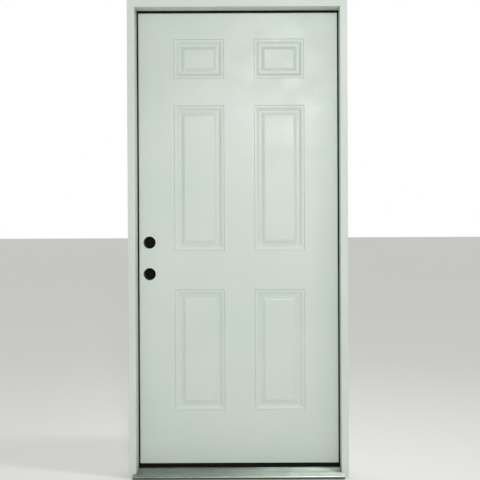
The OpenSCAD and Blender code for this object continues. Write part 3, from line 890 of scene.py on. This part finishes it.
def deck_outline():
    """Round the nose, up the slope, over the lip and back under the metal's thickness."""
    start, end = (deck_low.y + NOSE_RADIUS, NOSE_FOOT + 2 * NOSE_RADIUS), (cap_low.y, deck_high.z)
    back = deck_high.y
    lip = [(cap_low.y, deck_high.z), (back, deck_high.z), (back, deck_low.z)]
    under_z = deck_high.z - DECK_SHEET
    under = [(back - DECK_SHEET, deck_low.z), (back - DECK_SHEET, under_z), (cap_low.y, under_z)]
    hook_y = deck_low.y + HOOK
    hook = [(hook_y, NOSE_FOOT + DECK_SHEET), (hook_y, NOSE_FOOT)]
    outer = nose_arc(NOSE_RADIUS, 24) + slope_with_grooves(start, end)
    outer += rounded(lip, DECK_BEND, closed=False)
    inner = under + list(reversed(nose_arc(NOSE_RADIUS - DECK_SHEET, 16))) + hook
    return outer + inner


def along_sill(a, b, along):
    return (along, a, b)


def map_across_lines(piece):
    """A map whose first axis runs across the drawn lines, so that the shine spreads that way.

    SLANT adds some height to that axis, so that it also runs on over the nose's upright parts.
    """
    mesh = piece.data
    across = mesh.uv_layers.new(name="across_lines")
    for loop in mesh.loops:
        place = mesh.vertices[loop.vertex_index].co
        across.data[loop.index].uv = (place.y + SLANT * place.z, place.x)


deck_bm = extrude_outline(deck_outline(), deck_low.x, deck_high.x, along_sill)
deck = add_piece("sill_deck_extrusion", deck_bm, sill_metal, "frame", "sill_deck", sharp=25)
map_across_lines(deck)

# %% [markdown]
# ## Cap and sweep
# Under the slab a black vinyl cap stands on the deck, and a black sweep hangs from the slab with
# four bent fins that wipe it. Together they make the black band under the door. Both are
# extrusions too; the fins lean a little, the way soft lips do.

# %% Cap
CAP_GROOVES, FIRST_GROOVE, GROOVE_PITCH = 4, 0.010, 0.007
CAP_GROOVE_WIDTH, CAP_GROOVE_SIDE, CAP_GROOVE_DEPTH = 0.0032, 0.0008, 0.0006
CAP_ROUND = 0.0016


def cap_outline():
    """A flat block with four shallow grooves along its top."""
    y0, y1, z0, z1 = cap_low.y, cap_high.y, cap_low.z, cap_high.z
    grooves = []
    for i in range(CAP_GROOVES):
        y = y0 + FIRST_GROOVE + i * GROOVE_PITCH
        far = y + CAP_GROOVE_WIDTH
        floor_z = z1 - CAP_GROOVE_DEPTH
        grooves += [(y, z1), (y + CAP_GROOVE_SIDE, floor_z), (far - CAP_GROOVE_SIDE, floor_z), (far, z1)]
    return rounded([(y0, z0), (y0, z1)] + grooves + [(y1, z1), (y1, z0)], CAP_ROUND)


cap_bm = extrude_outline(cap_outline(), cap_low.x, cap_high.x, along_sill)
add_piece("sill_cap_extrusion", cap_bm, cap_vinyl, "frame", "sill_cap")

# %% Sweep
FIN = 0.0017
FIN_TIP_SHARE = 0.8
LEAN = 0.0016
FIN_COUNT = 4
SWEEP_PLATE = 0.003
SWEEP_ROUND = 0.0005
sweep_low, sweep_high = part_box("door_sweep")


def sweep_outline():
    """The sweep's plate with its fins, each leaning outdoors as it comes down."""
    plate_foot = sweep_high.z - SWEEP_PLATE
    drop = plate_foot - sweep_low.z
    pitch = (sweep_high.y - sweep_low.y - FIN - LEAN) / (FIN_COUNT - 1)
    points = [(sweep_low.y, sweep_high.z), (sweep_low.y, plate_foot)]
    for i in range(FIN_COUNT):
        y = sweep_low.y + i * pitch
        left = [(y + LEAN * (1 - t * t), plate_foot - drop * t) for t in (0, 0.35, 0.7, 1)]
        points += left + [(a + FIN * FIN_TIP_SHARE, b) for a, b in reversed(left)]
    return points + [(sweep_high.y, plate_foot), (sweep_high.y, sweep_high.z)]


sweep_bm = extrude_outline(rounded(sweep_outline(), SWEEP_ROUND), sweep_low.x, sweep_high.x, along_sill)
add_piece("sweep_extrusion", sweep_bm, cap_vinyl, "door", "door_sweep")

# %% [markdown]
# ## Compression seals
# A foam-filled seal is pushed by its barbed leg into a saw cut in each stop, and its bulb closes
# the gap to the slab. Only the bulb's tip shows past the stop, as a black line around the door. One
# outline serves all three runs; each place function turns it to its side.

# %% Seal outline
SEAL_THICK = 0.00605
SEAL_ROUND = 0.0014
SEAL_LEG = [(-0.0033, 0.0), (-0.0033, -0.0035), (-0.0036, -0.004), (-0.0033, -0.0075),
            (-0.0036, -0.008), (-0.0036, -0.0115), (-0.0054, -0.0115), (-0.0054, -0.008),
            (-0.0057, -0.0075), (-0.0054, -0.004), (-0.0057, -0.0035), (-0.0057, 0.0)]


def seal_outline(reach, thick):
    """Across from the frame's board, and from the stop's face towards the slab."""
    bulb = [(-reach + 0.0022, 0.0), (-reach, thick * 0.45), (-reach + 0.0024, thick), (-0.009, thick),
            (-0.0065, thick * 0.82), (-0.0003, thick * 0.66), (-0.0003, 0.0)]
    return rounded(SEAL_LEG + bulb, SEAL_ROUND)


def add_seal(name, node, place, start, end, reach, material):
    low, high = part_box(node)
    stop_face = high.y - SEAL_THICK
    outline = [(a, stop_face + b) for a, b in seal_outline(reach, SEAL_THICK)]
    bm = extrude_outline(outline, start, end, place)
    add_piece(name, bm, material, "frame", node, sharp=50)


print("points in a seal's leg:", len(SEAL_LEG))

# %% Three seals and two corner pads
BOARD = 0.019
PAD_EDGE = 0.0004
leg_x = leg_high.x - BOARD
head_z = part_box("head_jamb")[1].z - BOARD
side_low, side_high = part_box("hinge_seal")
top_low, top_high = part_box("head_seal")
side_run = (side_low.z, side_high.z, leg_x - side_low.x, seal_skin_upright)
head_run = (top_low.x, top_high.x, head_z - top_low.z, seal_skin_level)
add_seal("seal_hinge_side", "hinge_seal", lambda a, b, t: (leg_x + a, b, t), *side_run)
add_seal("seal_strike_side", "strike_seal", lambda a, b, t: (-leg_x - a, b, t), *side_run)
add_seal("seal_head", "head_seal", lambda a, b, t: (t, b, head_z + a), *head_run)
for side in ("hinge", "strike"):
    pad = eased_copy(f"{side}_corner_pad", PAD_EDGE)
    add_piece(f"corner_pad_{side}_side", pad, seal_skin_upright, "frame",
              f"{side}_corner_pad")

# %% [markdown]
# ## Hinges
# Each hinge is two leaves with interlocking knuckles on one pin. The leaves come from the CAD model,
# with their countersunk holes, and only need the small rounds that tumbling leaves. The pin is a
# turned piece: we draw half of its outline and spin it round its axis.

# %% Leaves and screws
LEAF_EDGE = 0.0004
LEAF_SHORTEST = 0.015
for hinge in HINGES:
    for side, body in (("door", "door"), ("jamb", "frame")):
        node = f"{hinge}_{side}_leaf"
        leaf = eased_copy(node, LEAF_EDGE, shortest=LEAF_SHORTEST, segments=2)
        add_piece(f"leaf_{hinge}_{side}", leaf, hinge_metal, body, node)
for screws in ("door_leaf_screws", "jamb_leaf_screws", "sill_screws", "head_screws"):
    dress(screws, screw_metal)

# %% Pins
SHANK, BUTTON = 0.0032, 0.0055


def pin_outline(foot, top):
    """Half of a pin: a small button at its foot, the shank, and a rounded head."""
    button = [
        (0, foot),
        (BUTTON - 0.0008, foot),
        (BUTTON - 0.0003, foot + 0.0005),
        (BUTTON - 0.0005, foot + 0.002),
    ]
    shank = [(SHANK, foot + 0.002), (SHANK, top - 0.003)]
    head = [
        (BUTTON, top - 0.003),
        (BUTTON, top - 0.0022),
        (BUTTON - 0.0009, top - 0.001),
        (BUTTON - 0.0024, top - 0.0002),
        (0, top),
    ]
    return button + shank + head


for hinge in HINGES:
    low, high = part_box(f"{hinge}_hinge_pin")
    middle = (low + high) / 2
    pin = turned(pin_outline(low.z, high.z), lambda a, b, height: (middle.x + a, middle.y + b, height))
    add_piece(f"pin_{hinge}", pin, hinge_metal, "frame", f"{hinge}_hinge_pin")

# %% [markdown]
# ## Studio
# A plain pale floor, and a nearly white room that is brighter behind the door than in front of it.
# The main light is a soft square, high up behind the camera and a little to the right. It makes
# the mouldings' right-hand and upper slopes bright, and we narrow its beam, so that it fades
# towards the door's edges and foot. A second, small light hangs high above the sill's right end and
# draws the bright patch on the metal there.

# %% Floor
bpy.ops.mesh.primitive_grid_add(x_subdivisions=4, y_subdivisions=4, size=60)
floor = bpy.context.active_object
floor.name = "studio_floor"
floor_finish = Finish("studio_floor", rgb(236, 236, 234), 0.7)
floor_finish.bump(floor_finish.noise(90, detail=4), 0.0002)
floor.data.materials.append(floor_finish.material)
print("floor", tuple(floor.dimensions))

# %% Room
ROOM_LIGHT, BACKDROP_LIGHT = 0.42, 1.0
DARK_UNTIL, BRIGHT_FROM = -0.1, 0.6
world = bpy.data.worlds.new("studio_room")
world.use_nodes = True
room = world.node_tree
direction = room.nodes.new("ShaderNodeTexCoord")
parts = room.nodes.new("ShaderNodeSeparateXYZ")
level = room.nodes.new("ShaderNodeMapRange")
level.interpolation_type = "SMOOTHSTEP"
for socket, value in zip(level.inputs[1:5], (DARK_UNTIL, BRIGHT_FROM, ROOM_LIGHT, BACKDROP_LIGHT)):
    socket.default_value = value
background = room.nodes["Background"]
background.inputs["Color"].default_value = (1.0, 1.0, 1.0, 1.0)
room.links.new(direction.outputs["Generated"], parts.inputs[0])
room.links.new(parts.outputs["Y"], level.inputs["Value"])
room.links.new(level.outputs[0], background.inputs["Strength"])
bpy.context.scene.world = world
print("room light from", ROOM_LIGHT, "to", BACKDROP_LIGHT)


# %% Lights
def soft_light(name, place, target, size, power, spread=130):
    """A square light at place that faces target; spread is how wide it shines, in degrees."""
    data = bpy.data.lights.new(name, "AREA")
    data.size = size
    data.energy = power
    data.spread = math.radians(spread)
    light = bpy.data.objects.new(name, data)
    light.location = place
    light.rotation_euler = (Vector(target) - Vector(place)).to_track_quat("-Z", "Y").to_euler()
    bpy.context.scene.collection.objects.link(light)
    print(name, power, "W")


soft_light("main_light", (0.68, -6.0, 2.68), (0.1, 0.0, 1.1), 0.9, 72)
soft_light("sill_glint", (1.06, -0.5, 4.6), (0.3, -0.5, 0.0), 0.2, 6.5, spread=70)
bpy.context.scene.view_settings.view_transform = "Standard"
